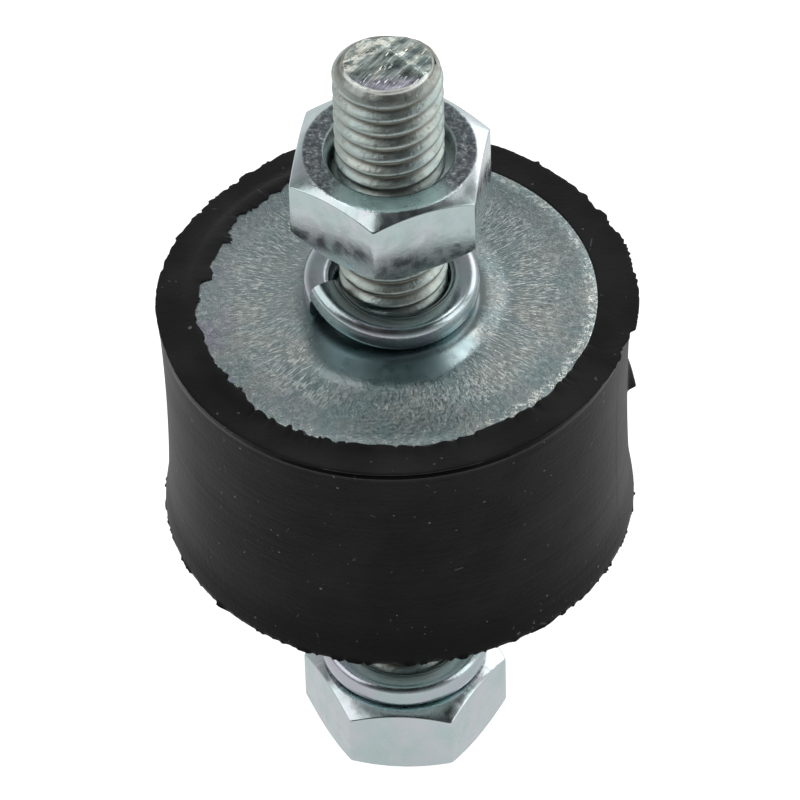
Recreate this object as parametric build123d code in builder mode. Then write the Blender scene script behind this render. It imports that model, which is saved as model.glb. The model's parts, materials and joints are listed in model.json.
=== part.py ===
from build123d import *
import os
from math import cos, radians, tan

# A bobbin vibration mount: a waisted rubber body moulded round two round steel plates. A headed M6 stud
# passes through each plate, its head buried in the rubber, and carries a split washer and a hexagon nut.
# The mount stands on its lower nut. The origin is the middle of that foot, +Z is up and sizes are in mm.

# Rubber body
height_over_plates = 15.5
rim_radius = 12.95
waist_depth = 0.3
flash_reach = 0.35
flash_thickness = 0.15

# Steel plates, each pressed up into a shallow hub round its stud
plate_border = 1.9
plate_thickness = 1.5
plate_proud = 0.1
hub_rise = 0.45
hub_flat_radius = 5.3
hub_foot_radius = 6.45

# Studs, M6 with rolled threads; the solid is the cylinder over the thread's crests
stud_radius = 2.95
stud_length = 18.0
stud_tip_chamfer = 0.6
stud_head_height = 2.0

# Split washers, square in section, wound left-handed and sprung open
washer_section = 1.6
washer_bore_clearance = 0.25
washer_spring = 1.2
washer_split_angle = 7.0
upper_washer_start = 207.0
lower_washer_start = 70.0

# Hexagon nuts, chamfered on both faces
nut_sides = 6
nut_flats = 10.0
nut_height = 4.7
nut_face_radius = 4.65
nut_chamfer_angle = 30.0
nut_countersink = 0.55
nut_turning_allowance = 0.2
nut_running_clearance = 0.05
upper_nut_above_plate = 6.6
upper_nut_corner = -100.0
lower_nut_corner = -64.0

# Levels above the foot; the lower nut is flush with the end of its stud
lower_face = stud_length
upper_face = lower_face + height_over_plates
middle = (lower_face + upper_face) / 2
rubber_half_height = height_over_plates / 2 - plate_proud

# The rubber stands out past the plates all round, and draws in to its waist
plate_radius = rim_radius - plate_border
waist_radius = rim_radius - waist_depth

# Each end of the mount: the level of its plate's outer face, and the way that face looks along Z
ends = {"upper": (upper_face, 1), "lower": (lower_face, -1)}

os.makedirs("parts", exist_ok=True)


def end_section(level, outward):
    """The plane in which an end's outline is drawn, with X as the radius and Y pointing out of the mount."""
    return Plane(origin=(0, 0, level), x_dir=(1, 0, 0), z_dir=(0, -outward, 0))


# The plates: one thickness of steel, so the hub is hollow underneath, pressed tight onto the stud
hub_inner_level = hub_rise - plate_thickness
plates = {}
for end, (level, outward) in ends.items():
    with BuildPart() as plate:
        with BuildSketch(end_section(level, outward)):
            with BuildLine():
                Polyline(
                    (stud_radius, hub_rise),
                    (hub_flat_radius, hub_rise),
                    (hub_foot_radius, 0),
                    (plate_radius, 0),
                    (plate_radius, -plate_thickness),
                    (hub_foot_radius, -plate_thickness),
                    (hub_flat_radius, hub_inner_level),
                    (stud_radius, hub_inner_level),
                    close=True,
                )
            make_face()
        revolve(axis=Axis.Z)
    plates[end] = plate.part
    plate.part.label = f"{end}_plate"
    export_step(plate.part, f"parts/{end}_plate.step")

# The studs: each head seats in the hollow under its plate's hub and fills its flat
studs = {}
for end, (level, outward) in ends.items():
    head_seat = Plane(origin=(0, 0, level + outward * hub_inner_level), z_dir=(0, 0, outward))
    with BuildPart() as stud:
        with BuildSketch(head_seat):
            Circle(hub_flat_radius)
        extrude(amount=-stud_head_height)
        with BuildSketch(head_seat):
            Circle(stud_radius)
        extrude(amount=stud_length - hub_inner_level)
        tip = stud.faces().sort_by(Axis.Z)[-1 if outward > 0 else 0]
        chamfer(tip.edges(), length=stud_tip_chamfer)
    studs[end] = stud.part
    stud.part.label = f"{end}_stud"
    export_step(stud.part, f"parts/{end}_stud.step")

# The rubber: a waisted wall with a fin of flash at its lower rim, and the plates and heads moulded in
with BuildPart() as rubber_body:
    with BuildSketch(end_section(middle, 1)):
        with BuildLine():
            wall_top = (rim_radius, rubber_half_height)
            wall_foot = (rim_radius, flash_thickness - rubber_half_height)
            ThreePointArc(wall_top, (waist_radius, 0), wall_foot)
            Polyline(
                wall_foot,
                (rim_radius + flash_reach, flash_thickness - rubber_half_height),
                (rim_radius + flash_reach, -rubber_half_height),
                (0, -rubber_half_height),
                (0, rubber_half_height),
                wall_top,
            )
        make_face()
    revolve(axis=Axis.Z)
    for end in ends:
        add(plates[end], mode=Mode.SUBTRACT)
        add(studs[end], mode=Mode.SUBTRACT)
rubber_body.part.label = "rubber_body"
export_step(rubber_body.part, "parts/rubber_body.step")

# The split washers: the upper one lies on its plate's hub, the lower one on top of its nut
washer_seats = {
    "upper": (upper_face + hub_rise, upper_washer_start),
    "lower": (nut_height, lower_washer_start),
}
washer_middle_radius = stud_radius + washer_bore_clearance + washer_section / 2
washer_turn = (360 - washer_split_angle) / 360
for end, (seat, start) in washer_seats.items():
    first_centre = (0, 0, seat + washer_section / 2)
    coil = Helix(
        washer_spring / washer_turn,
        washer_spring,
        washer_middle_radius,
        center=first_centre,
        lefthand=True,
    ).rotate(Axis.Z, start)
    with BuildPart() as washer:
        with BuildSketch(Plane(origin=coil @ 0, x_dir=coil @ 0 - Vector(first_centre), z_dir=coil % 0)):
            Rectangle(washer_section, washer_section)
        sweep(path=coil, is_frenet=True)
    washer.part.label = f"{end}_spring_washer"
    export_step(washer.part, f"parts/{end}_spring_washer.step")

# The nuts: a hexagonal prism cut to a turned outline, which gives the chamfers, the bore and its
# countersinks
nut_places = {
    "upper": (upper_face + upper_nut_above_plate, upper_nut_corner),
    "lower": (0, lower_nut_corner),
}
nut_bore_radius = stud_radius + nut_running_clearance
nut_corner_radius = nut_flats / 2 / cos(radians(180 / nut_sides))
nut_turned_radius = nut_corner_radius + nut_turning_allowance
nut_chamfer_depth = (nut_turned_radius - nut_face_radius) * tan(radians(nut_chamfer_angle))
for end, (under_side, corner) in nut_places.items():
    with BuildPart() as nut:
        with BuildSketch(Plane.XY.offset(under_side)):
            RegularPolygon(nut_corner_radius, nut_sides, rotation=corner)
        extrude(amount=nut_height)
        with BuildSketch(end_section(under_side, 1)):
            with BuildLine():
                Polyline(
                    (nut_bore_radius, nut_countersink),
                    (nut_bore_radius + nut_countersink, 0),
                    (nut_face_radius, 0),
                    (nut_turned_radius, nut_chamfer_depth),
                    (nut_turned_radius, nut_height - nut_chamfer_depth),
                    (nut_face_radius, nut_height),
                    (nut_bore_radius + nut_countersink, nut_height),
                    (nut_bore_radius, nut_height - nut_countersink),
                    close=True,
                )
            make_face()
        revolve(axis=Axis.Z, mode=Mode.INTERSECT)
    nut.part.label = f"{end}_nut"
    export_step(nut.part, f"parts/{end}_nut.step")
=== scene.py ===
"""The looks of a bobbin vibration mount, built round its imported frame.

The mount stands on its lower nut with +Z up, and every length is in metres. The frame gives the levels
that the pieces sit at. Each sub-assembly is a class that holds its sizes, builds its meshes and dresses
them, and main() makes them in order.
"""

import json
import logging
import math
from dataclasses import dataclass, field
from enum import Enum
from functools import cached_property
from typing import Any

import bmesh
import bpy
import numpy as np
from mathutils import Matrix, Vector


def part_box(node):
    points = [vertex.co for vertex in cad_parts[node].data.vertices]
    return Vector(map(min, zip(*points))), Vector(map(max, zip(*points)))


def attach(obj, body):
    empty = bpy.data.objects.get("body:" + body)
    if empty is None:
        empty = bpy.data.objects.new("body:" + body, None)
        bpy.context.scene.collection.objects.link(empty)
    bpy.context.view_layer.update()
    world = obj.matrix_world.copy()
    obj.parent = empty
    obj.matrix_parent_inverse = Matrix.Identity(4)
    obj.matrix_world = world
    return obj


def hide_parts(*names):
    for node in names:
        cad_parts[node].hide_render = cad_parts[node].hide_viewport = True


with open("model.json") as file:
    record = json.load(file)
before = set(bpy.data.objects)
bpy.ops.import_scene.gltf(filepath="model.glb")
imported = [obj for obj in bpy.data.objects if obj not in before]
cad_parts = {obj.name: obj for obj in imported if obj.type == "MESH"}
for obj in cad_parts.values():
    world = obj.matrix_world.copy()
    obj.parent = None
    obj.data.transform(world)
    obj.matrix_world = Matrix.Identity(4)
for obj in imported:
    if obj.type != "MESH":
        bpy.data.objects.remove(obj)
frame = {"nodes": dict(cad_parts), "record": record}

LOG = logging.getLogger("bobbin_mount")
MM = 0.001
FULL_TURN = 2 * math.pi

Mesh = bpy.types.Mesh
Tree = bpy.types.NodeTree
Array = np.ndarray
Faces = list[list[int]]
Colour = tuple[float, float, float]
Range = tuple[float, float]
Stretch = tuple[float, float, float]
# the start and the end of a change, and the values there
Fade = tuple[float, float, float, float]
# what goes into a node, by the name or number of its inputs
Inputs = dict[Any, Any] | None
# azimuths in degrees, rising from -180 to 180, each with a value
Marks = tuple[tuple[float, float], ...]


class End(Enum):
    """An end of the mount, with the way that its plate looks along Z."""

    UPPER = 1
    LOWER = -1

    @property
    def word(self) -> str:
        """The end's name as the frame's nodes spell it."""
        return self.name.lower()


class Closing(Enum):
    """How a turned mesh is closed: at points on its axis, or round a bore."""

    POLES = "poles"
    BORE = "bore"


class Cut(Enum):
    """Whether a thread stands on a shank or is cut in a bore."""

    EXTERNAL = "external"
    INTERNAL = "internal"


class Source(Enum):
    """The node and the output that a graph reads its places from."""

    OBJECT = ("ShaderNodeTexCoord", "Object")
    ROOM = ("ShaderNodeTexCoord", "Generated")
    POINT = ("GeometryNodeInputPosition", "Position")


@dataclass(frozen=True)
class Levels:
    """Heights of the mount's pieces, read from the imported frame."""

    faces: dict[End, float]
    tips: dict[End, float]
    nuts: dict[End, Range]
    washers: dict[End, Range]
    rubber: Range
    rubber_reach: float

    @classmethod
    def read(cls) -> "Levels":
        """Reads the levels from the frame's nodes and mounts.

        Returns:
            The levels of both plates' outer faces, the studs' tips, the nuts, the washers and the rubber.
        """
        mounts = {m["name"]: m["pos_m"][2] for m in frame["record"]["mounts"]}
        spans = {name: tuple(corner.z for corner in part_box(name)) for name in frame["nodes"]}
        return cls(
            faces={end: mounts[f"{end.word}_face"] for end in End},
            tips={End.UPPER: spans["upper_stud"][1], End.LOWER: spans["lower_stud"][0]},
            nuts={end: spans[f"{end.word}_nut"] for end in End},
            washers={end: spans[f"{end.word}_spring_washer"] for end in End},
            rubber=spans["rubber_body"],
            rubber_reach=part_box("rubber_body")[1].x,
        )


class Value:
    """A value in a node tree, to which arithmetic adds Math nodes."""

    def __init__(self, graph: "Graph", socket: bpy.types.NodeSocket) -> None:
        """Keeps the graph and the socket that gives the value."""
        self.graph, self.socket = graph, socket

    def __add__(self, other: Any) -> "Value":
        """The sum."""
        return self.graph.math("ADD", self, other)

    def __sub__(self, other: Any) -> "Value":
        """The difference."""
        return self.graph.math("SUBTRACT", self, other)

    def __rsub__(self, other: Any) -> "Value":
        """The difference from a number."""
        return self.graph.math("SUBTRACT", other, self)

    def __mul__(self, other: Any) -> "Value":
        """The product."""
        return self.graph.math("MULTIPLY", self, other)

    def __truediv__(self, other: Any) -> "Value":
        """The quotient."""
        return self.graph.math("DIVIDE", self, other)

    def __abs__(self) -> "Value":
        """The value without its sign."""
        return self.graph.math("ABSOLUTE", self)

    def __lt__(self, other: Any) -> "Value":
        """1 where the value is less than the other, and 0 elsewhere."""
        return self.graph.math("LESS_THAN", self, other)

    def span(self, low: Any, high: Any, to_low: Any = 0.0, to_high: Any = 1.0, even: bool = False) -> "Value":
        """Maps the value from one span to another, held at both ends.

        Args:
            low: the start of its span.
            high: the end of its span.
            to_low: the result at the start.
            to_high: the result at the end.
            even: whether the result changes evenly, and not slowly near both ends.

        Returns:
            The mapped value.
        """
        inputs = {"Value": self, 1: low, 2: high, 3: to_low, 4: to_high}
        kind = "LINEAR" if even else "SMOOTHSTEP"
        return self.graph.give("ShaderNodeMapRange", inputs, interpolation_type=kind)


class Graph:
    """Adds nodes to a node tree, and keeps the places that its patterns read."""

    def __init__(self, tree: Tree, source: Source) -> None:
        """Keeps the tree that the nodes go into and where its places come from."""
        self.tree, self.source = tree, source

    def node(self, kind: str, inputs: Inputs = None, **settings: Any) -> bpy.types.Node:
        """Adds one node.

        Args:
            kind: the node's type name.
            inputs: numbers, opaque colours or values by the name or number of the input they go to.
            **settings: the node's own properties.

        Returns:
            The new node.
        """
        made = self.tree.nodes.new(kind)
        for name, setting in settings.items():
            setattr(made, name, setting)
        for name, value in (inputs or {}).items():
            socket = made.inputs[name]
            if isinstance(value, Value):
                self.tree.links.new(value.socket, socket)
            else:
                socket.default_value = (*value, 1.0) if socket.type == "RGBA" else value
        return made

    def give(self, kind: str, inputs: Inputs = None, output: int | str = 0, **settings: Any) -> Value:
        """Adds one node and returns one of its outputs."""
        return Value(self, self.node(kind, inputs, **settings).outputs[output])

    def math(self, operation: str, *values: Any) -> Value:
        """Adds a Math node on the values and returns its result."""
        return self.give("ShaderNodeMath", dict(enumerate(values)), operation=operation)

    def highest(self, first: Any, second: Any) -> Value:
        """The higher of two values."""
        return self.math("MAXIMUM", first, second)

    def blend(self, share: Any, first: Any, second: Any) -> Value:
        """Mixes two colours by the share of the second."""
        return self.give("ShaderNodeMix", {0: share, 6: first, 7: second}, output=2, data_type="RGBA")

    def noise(self, scale: float, detail: float = 2, rough: float = 0.5, place: Value | None = None) -> Value:
        """Noise over the graph's own place or another, from 0 to 1."""
        inputs = {"Vector": place or self.place, "Scale": scale, "Detail": detail, "Roughness": rough}
        return self.give("ShaderNodeTexNoise", inputs, output="Fac")

    def mapped(self, **changes: Any) -> Value:
        """The graph's place, turned or scaled by a different amount along each axis."""
        return self.give("ShaderNodeMapping", {"Vector": self.place, **changes})

    def parts(self, vector: Value) -> list[Value]:
        """The three parts of a place or a colour."""
        return [Value(self, part) for part in self.node("ShaderNodeSeparateXYZ", {0: vector}).outputs]

    def join(self, x: Value, y: Value, z: Value) -> Value:
        """The place with these coordinates."""
        return self.give("ShaderNodeCombineXYZ", {0: x, 1: y, 2: z})

    @cached_property
    def place(self) -> Value:
        """The place that is being shaded or moved."""
        kind, output = self.source.value
        return self.give(kind, output=output)

    @cached_property
    def coordinates(self) -> list[Value]:
        """The place's X, Y and Z."""
        return self.parts(self.place)

    @cached_property
    def radius(self) -> Value:
        """The place's distance from the mount's axis."""
        x, y, _ = self.coordinates
        return self.math("SQRT", x * x + y * y)

    @cached_property
    def direction(self) -> tuple[Value, Value]:
        """The X and Y of the place's direction from the mount's axis."""
        x, y, _ = self.coordinates
        return x / self.radius, y / self.radius

    @cached_property
    def facing(self) -> Value:
        """How far the surface looks up or down, from 0 to 1."""
        return abs(self.parts(self.give("ShaderNodeTexCoord", output="Normal"))[2])


def empty_material(name: str) -> tuple[bpy.types.Material, Graph]:
    """Makes a material with no nodes.

    Args:
        name: the material's name.

    Returns:
        The material and the graph of its tree.
    """
    material = bpy.data.materials.new(name)
    material.use_nodes = True
    material.node_tree.nodes.clear()
    return material, Graph(material.node_tree, Source.OBJECT)


@dataclass(frozen=True)
class RubberFinish:
    """Moulded black rubber: matt, with drag marks round its side, dust and fine scratches."""

    deep: Colour = (0.011, 0.011, 0.0115)
    worn: Colour = (0.022, 0.022, 0.0225)
    dust: Colour = (0.26, 0.255, 0.245)
    specular: float = 0.03
    sheen: float = 0.43
    sheen_roughness: float = 0.4
    roughness: Range = (0.5, 0.64)
    bump_depth: float = 0.02 * MM
    bump_strength: float = 0.9
    drag_scale: Stretch = (90, 90, 2400)
    drag_marks: Range = (0.3, 0.72)
    worn_patches: Range = (0.35, 0.7)
    # painted shade: the worn tone fades out towards the foot over this height, which darkens the foot
    foot: Fade = (18.5 * MM, 24.5 * MM, 0.2, 1.0)
    # each kind of fleck: its scale, its largest size and the share of places that have one
    fleck_kinds: tuple[tuple[float, float, float], ...] = ((1150.0, 0.1, 0.3), (2700.0, 0.16, 0.22))
    fleck_clusters: Fade = (0.42, 0.62, 0.25, 1.0)
    fleck_outline: Fade = (0.3, 0.6, 0.3, 1.5)
    smallest_fleck: float = 0.2
    fleck_strength: Range = (0.2, 0.9)
    scratch_scale: Stretch = (520.0, 520.0, 300.0)
    scratch_width: Range = (0.006, 0.016)
    scratch_patches: Range = (0.66, 0.7)
    scratch_strength: float = 0.3

    def flecks(self, graph: Graph) -> Value:
        """White specks of dust of all sizes, gathered in clusters, from 0 to 1."""
        clusters = graph.noise(210).span(*self.fleck_clusters)
        outline = graph.noise(2400).span(*self.fleck_outline)
        kinds = []
        for scale, largest, share in self.fleck_kinds:
            cells = graph.node("ShaderNodeTexVoronoi", {"Vector": graph.place, "Scale": scale}).outputs
            pick, size, strength = graph.parts(Value(graph, cells["Color"]))
            reach = size.span(0.0, 1.0, self.smallest_fleck * largest, largest) * outline
            within = Value(graph, cells["Distance"]) < reach
            kinds.append(within * (pick < clusters * share) * strength.span(0.0, 1.0, *self.fleck_strength))
        return graph.highest(*kinds)

    def scratches(self, graph: Graph) -> Value:
        """Short thin scratches, from 0 to 1."""
        inputs = {"Vector": graph.mapped(Scale=self.scratch_scale), "Scale": 1.0}
        edges = graph.give("ShaderNodeTexVoronoi", inputs, output="Distance", feature="DISTANCE_TO_EDGE")
        return edges.span(*self.scratch_width, 1.0, 0.0) * graph.noise(900).span(*self.scratch_patches)

    def build(self) -> bpy.types.Material:
        """Builds the material."""
        material, graph = empty_material("moulded_rubber")
        drag = graph.noise(1.0, 5.0, 0.62, graph.mapped(Scale=self.drag_scale))
        patches = graph.noise(260, 3.0).span(*self.worn_patches)
        # painted shade: the foot is kept dark, in place of the shadow at the floor
        above_painted_foot_shade = graph.coordinates[2].span(*self.foot)
        tone = graph.blend(patches * above_painted_foot_shade, self.deep, self.worn)
        dusty = graph.highest(self.flecks(graph), self.scratches(graph) * self.scratch_strength)
        bump = {"Distance": self.bump_depth, "Strength": self.bump_strength}
        drag_bump = graph.give("ShaderNodeBump", {"Height": drag, **bump})
        pores = graph.noise(4200, 3.0, 0.6)
        inputs = {
            "Base Color": graph.blend(dusty, tone, self.dust),
            "Roughness": drag.span(*self.drag_marks, *self.roughness),
            "Specular IOR Level": self.specular,
            "Sheen Weight": self.sheen,
            "Sheen Roughness": self.sheen_roughness,
            "Normal": graph.give("ShaderNodeBump", {"Height": pores, "Normal": drag_bump, **bump}),
        }
        graph.node("ShaderNodeOutputMaterial", {"Surface": graph.give("ShaderNodeBsdfPrincipled", inputs)})
        return material


@dataclass(frozen=True)
class ZincFinish:
    """Zinc plate on steel: mottled blue-grey metal over a fine grain."""

    name: str
    cool: Colour
    warm: Colour
    roughness: Range
    depth: float
    mottle: Range = (0.36, 0.64)
    wear: Range = (0.3, 0.7)

    def relief(self, graph: Graph) -> Value:
        """The height pattern of the finish, from about 0 to 1."""
        return graph.noise(5200, 4.0, 0.62)

    def tone(self, graph: Graph, colour: Value, rough: Value) -> tuple[Value, Value]:
        """Lays the finish's own marks over the mottled zinc.

        Args:
            graph: the material's graph, which plain zinc does not use.
            colour: the mottled colour.
            rough: the roughness under the marks.

        Returns:
            The colour and the roughness with the marks.
        """
        return colour, rough

    def build(self) -> bpy.types.Material:
        """Builds the material."""
        material, graph = empty_material(self.name)
        zinc = graph.blend(graph.noise(420, 3.0, 0.55).span(*self.mottle), self.cool, self.warm)
        colour, rough = self.tone(graph, zinc, graph.noise(1300, 3.0).span(*self.wear, *self.roughness))
        bump = {"Height": self.relief(graph), "Distance": self.depth, "Strength": 1.0}
        normal = graph.give("ShaderNodeBump", bump)
        inputs = {"Base Color": colour, "Metallic": 1.0, "Roughness": rough, "Normal": normal}
        graph.node("ShaderNodeOutputMaterial", {"Surface": graph.give("ShaderNodeBsdfPrincipled", inputs)})
        return material


@dataclass(frozen=True)
class PlateFinish(ZincFinish):
    """The plates' zinc: short strokes round the hub with pale painted glints, a bright grain at the border
    with a painted highlight on its right, a smooth hub with painted shade in front, a darker back as painted
    shade, and a painted highlight at the hub's foot.
    """

    # pale strokes and grain, in part painted glints, which show most at the sides, and a painted highlight on
    # the border's right
    pale: Colour = (0.88, 0.92, 0.86)
    lavender: Colour = (0.36, 0.36, 0.44)
    # painted shade: the dark tone laid on the plate's back and on the hub's front, in place of dark
    # reflections
    polished: Colour = (0.18, 0.25, 0.26)
    # painted highlight: a pale tone for a highlight at the hub's foot
    burnished: Colour = (0.66, 0.76, 0.78)
    stroke_scale: Range = (96.0, 2300.0)
    stroke_ridges: Range = (0.5, 0.64)
    stroke_reach: Fade = (8.0 * MM, 9.6 * MM, 1.0, 0.1)
    stroke_sides: Fade = (0.25, 0.85, 0.15, 1.0)
    stroke_depth: float = 0.4
    hub_edge: Fade = (-0.95, -0.35, 6.6 * MM, 5.3 * MM)
    hub_blend: Fade = (-0.5 * MM, 0.6 * MM, 1.0, 0.0)
    hub_grain: Fade = (0.0, 1.0, 0.5, 0.02)
    # where the hub's painted shade lies: strongest in front, and weak at the right
    hub_depthwise: Fade = (-0.8, 0.3, 1.0, 0.35)
    hub_sideways: Fade = (0.35, 0.65, 1.0, 0.1)
    hub_roughness: float = 0.08
    tint_sideways: Fade = (-0.9, -0.4, 1.0, 0.0)
    tint_depthwise: Fade = (-0.1, 0.5, 1.0, 0.35)
    tint_reach: Fade = (8.2 * MM, 9.6 * MM, 0.0, 0.9)
    tint_patches: Range = (0.42, 0.6)
    border: Range = (10.2 * MM, 10.6 * MM)
    border_sideways: Range = (0.2, 0.6)
    grains: Range = (0.46, 0.62)
    grain_reach: Fade = (6.4 * MM, 8.0 * MM, 0.0, 0.3)
    # painted shade: the plate's back is darkened
    back_shade: Fade = (0.0, 0.8, 0.0, 0.5)
    # a painted highlight at the hub's foot, in front on the left: its direction in degrees, its width, its
    # radii and its strength
    smear_direction: float = -117.0
    smear_width: Range = (0.965, 0.995)
    smear_rise: Range = (6.3 * MM, 6.8 * MM)
    smear_fall: Fade = (6.8 * MM, 7.3 * MM, 1.0, 0.0)
    smear_strength: float = 0.6
    smear_roughness: float = 0.2

    def strokes(self, graph: Graph) -> Value:
        """Short strokes that run out from the hub, strongest at the sides, from 0 to 1."""
        x, y = graph.direction
        around, along = self.stroke_scale
        spot = graph.join(x * around, y * around, graph.radius * along)
        ridges = graph.noise(1.0, 2.0, 0.6, spot).span(*self.stroke_ridges)
        reach, sides = graph.radius.span(*self.stroke_reach), abs(x).span(*self.stroke_sides)
        return ridges * (1.0 - self.smooth_part(graph)) * reach * sides

    def smooth_part(self, graph: Graph) -> Value:
        """The smooth hub, from 0 to 1, which reaches furthest in front."""
        return (graph.radius - graph.direction[1].span(*self.hub_edge)).span(*self.hub_blend)

    def relief(self, graph: Graph) -> Value:
        """The strokes over a fine grain that the hub lacks."""
        share = self.smooth_part(graph).span(*self.hub_grain)
        return self.strokes(graph) * self.stroke_depth + graph.noise(3600, 4.0, 0.7) * share

    def tone(self, graph: Graph, colour: Value, rough: Value) -> tuple[Value, Value]:
        """The pale strokes and grain, in part painted glints and highlights, a lavender tint at the left, the
        back and the hub's front darkened as painted shade, and a painted highlight at the hub's foot.
        """
        radius, (x, y) = graph.radius, graph.direction
        tinted = x.span(*self.tint_sideways) * y.span(*self.tint_depthwise) * radius.span(*self.tint_reach)
        colour = graph.blend(tinted * graph.noise(330).span(*self.tint_patches), colour, self.lavender)
        grains = graph.noise(3000, 3.0, 0.75).span(*self.grains)
        # painted highlight: the border's grain is pale only towards the right
        border = radius.span(*self.border) * x.span(*self.border_sideways) * grains
        speckled = grains * radius.span(*self.grain_reach)
        # the strokes' pale tone is in part painted glints, strongest at the sides
        pale = graph.highest(self.strokes(graph), graph.highest(speckled, border))
        colour = graph.blend(pale, colour, self.pale)
        # painted shade: darker towards the back
        colour = graph.blend(y.span(*self.back_shade), colour, self.polished)
        # painted shade: the hub's front is darkened, in place of the dark reflection of the nut's underside
        painted_hub_shade = self.smooth_part(graph) * y.span(*self.hub_depthwise) * x.span(*self.hub_sideways)
        colour = graph.blend(painted_hub_shade, colour, self.polished)
        # painted highlight on the hub's foot, in front on the left
        lean = math.radians(self.smear_direction)
        towards = (x * math.cos(lean) + y * math.sin(lean)).span(*self.smear_width)
        painted_highlight = radius.span(*self.smear_rise) * radius.span(*self.smear_fall) * towards * self.smear_strength
        rougher = graph.highest(painted_hub_shade * self.hub_roughness, painted_highlight * self.smear_roughness)
        return graph.blend(painted_highlight, colour, self.burnished), rough + rougher


@dataclass(frozen=True)
class ThreadFinish(ZincFinish):
    """The threads' zinc: dull crests, darker along the roots, dirt specks, a dark taper of brownish dirt and
    painted shade, and a painted highlight on the rim at the tip.
    """

    grime: Colour = (0.155, 0.14, 0.115)
    # a pale tone for the painted highlight on the tip's rim
    pale: Colour = (0.9, 0.93, 0.88)
    middle: float = 25.75 * MM
    specks: Fade = (0.54, 0.64, 0.0, 0.5)
    roots: Fade = (2.58 * MM, 2.76 * MM, 0.85, 0.0)
    # distances from the mount's middle
    grimy: Fade = (25.0 * MM, 25.5 * MM, 1.0, 0.0)
    # the taper under the tip is darkened: partly brownish dirt, partly painted shade
    taper: Fade = (24.95 * MM, 25.05 * MM, 0.0, 0.45)
    # painted highlight: the rim at the tip is pale
    worn_rim: Fade = (25.5 * MM, 25.6 * MM, 0.0, 0.85)
    rim_roughness: float = 0.15

    def tone(self, graph: Graph, colour: Value, rough: Value) -> tuple[Value, Value]:
        """Darker roots, dirt specks over the crests, the taper darkened by brownish dirt and painted shade,
        and the rim's painted highlight.
        """
        from_middle = abs(graph.coordinates[2] - self.middle)
        dark_specks_and_roots = graph.highest(graph.noise(2100, 4.0, 0.8).span(*self.specks), graph.radius.span(*self.roots))
        colour = graph.blend(dark_specks_and_roots * from_middle.span(*self.grimy), colour, self.grime)
        # the taper's dark tone: partly brownish dirt, partly painted shade
        colour = graph.blend(from_middle.span(*self.taper), colour, self.grime)
        # painted highlight on the rim at the tip
        rim = from_middle.span(*self.worn_rim)
        return graph.blend(rim, colour, self.pale), rough + rim * self.rim_roughness


@dataclass(frozen=True)
class TipFinish(ZincFinish):
    """The sheared tips' zinc: slanting tears over broad lumps, with a pale patch as a painted reflection and
    a lavender edge.
    """

    pale: Colour = (0.92, 0.93, 0.82)
    dark: Colour = (0.2, 0.25, 0.24)
    lavender: Colour = (0.6, 0.6, 0.7)
    slant: float = -55.0
    tear_scale: Stretch = (330, 2300, 700)
    lump_depth: float = 1.6
    dark_tears: Fade = (0.44, 0.55, 0.9, 0.0)
    pale_tears: Fade = (0.58, 0.66, 0.0, 0.7)
    # the painted reflection: a pale patch on the back left of the sheared end
    patch_lean: float = 1.1
    patch_edge: Range = (0.8 * MM, 1.7 * MM)
    patch_grain: Range = (0.45, 0.53)
    patch_strength: float = 0.9
    front_edge: Fade = (-1.9 * MM, -1.1 * MM, 0.9, 0.0)

    def tears(self, graph: Graph) -> Value:
        """Slanting tears, from 0 to 1."""
        turned = graph.mapped(Rotation=(0.0, 0.0, math.radians(self.slant)))
        drawn = graph.give("ShaderNodeMapping", {"Vector": turned, "Scale": self.tear_scale})
        return graph.noise(1.0, 3.0, 0.6, drawn)

    def relief(self, graph: Graph) -> Value:
        """The tears over broad lumps."""
        return self.tears(graph) + graph.noise(800) * self.lump_depth

    def tone(self, graph: Graph, colour: Value, rough: Value) -> tuple[Value, Value]:
        """The dark tears, the pale patch at the back left as a painted reflection, and the lavender edge in
        front.
        """
        x, y, _ = graph.coordinates
        tears = self.tears(graph)
        colour = graph.blend(tears.span(*self.dark_tears), colour, self.dark)
        colour = graph.blend(tears.span(*self.pale_tears), colour, self.pale)
        # painted reflection: a pale patch towards the back left
        leftwards = (y - x * self.patch_lean).span(*self.patch_edge)
        patch = leftwards * graph.noise(1900, 4.0, 0.7).span(*self.patch_grain) * self.patch_strength
        colour = graph.blend(patch, colour, self.pale)
        return graph.blend(y.span(*self.front_edge), colour, self.lavender), rough


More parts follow.
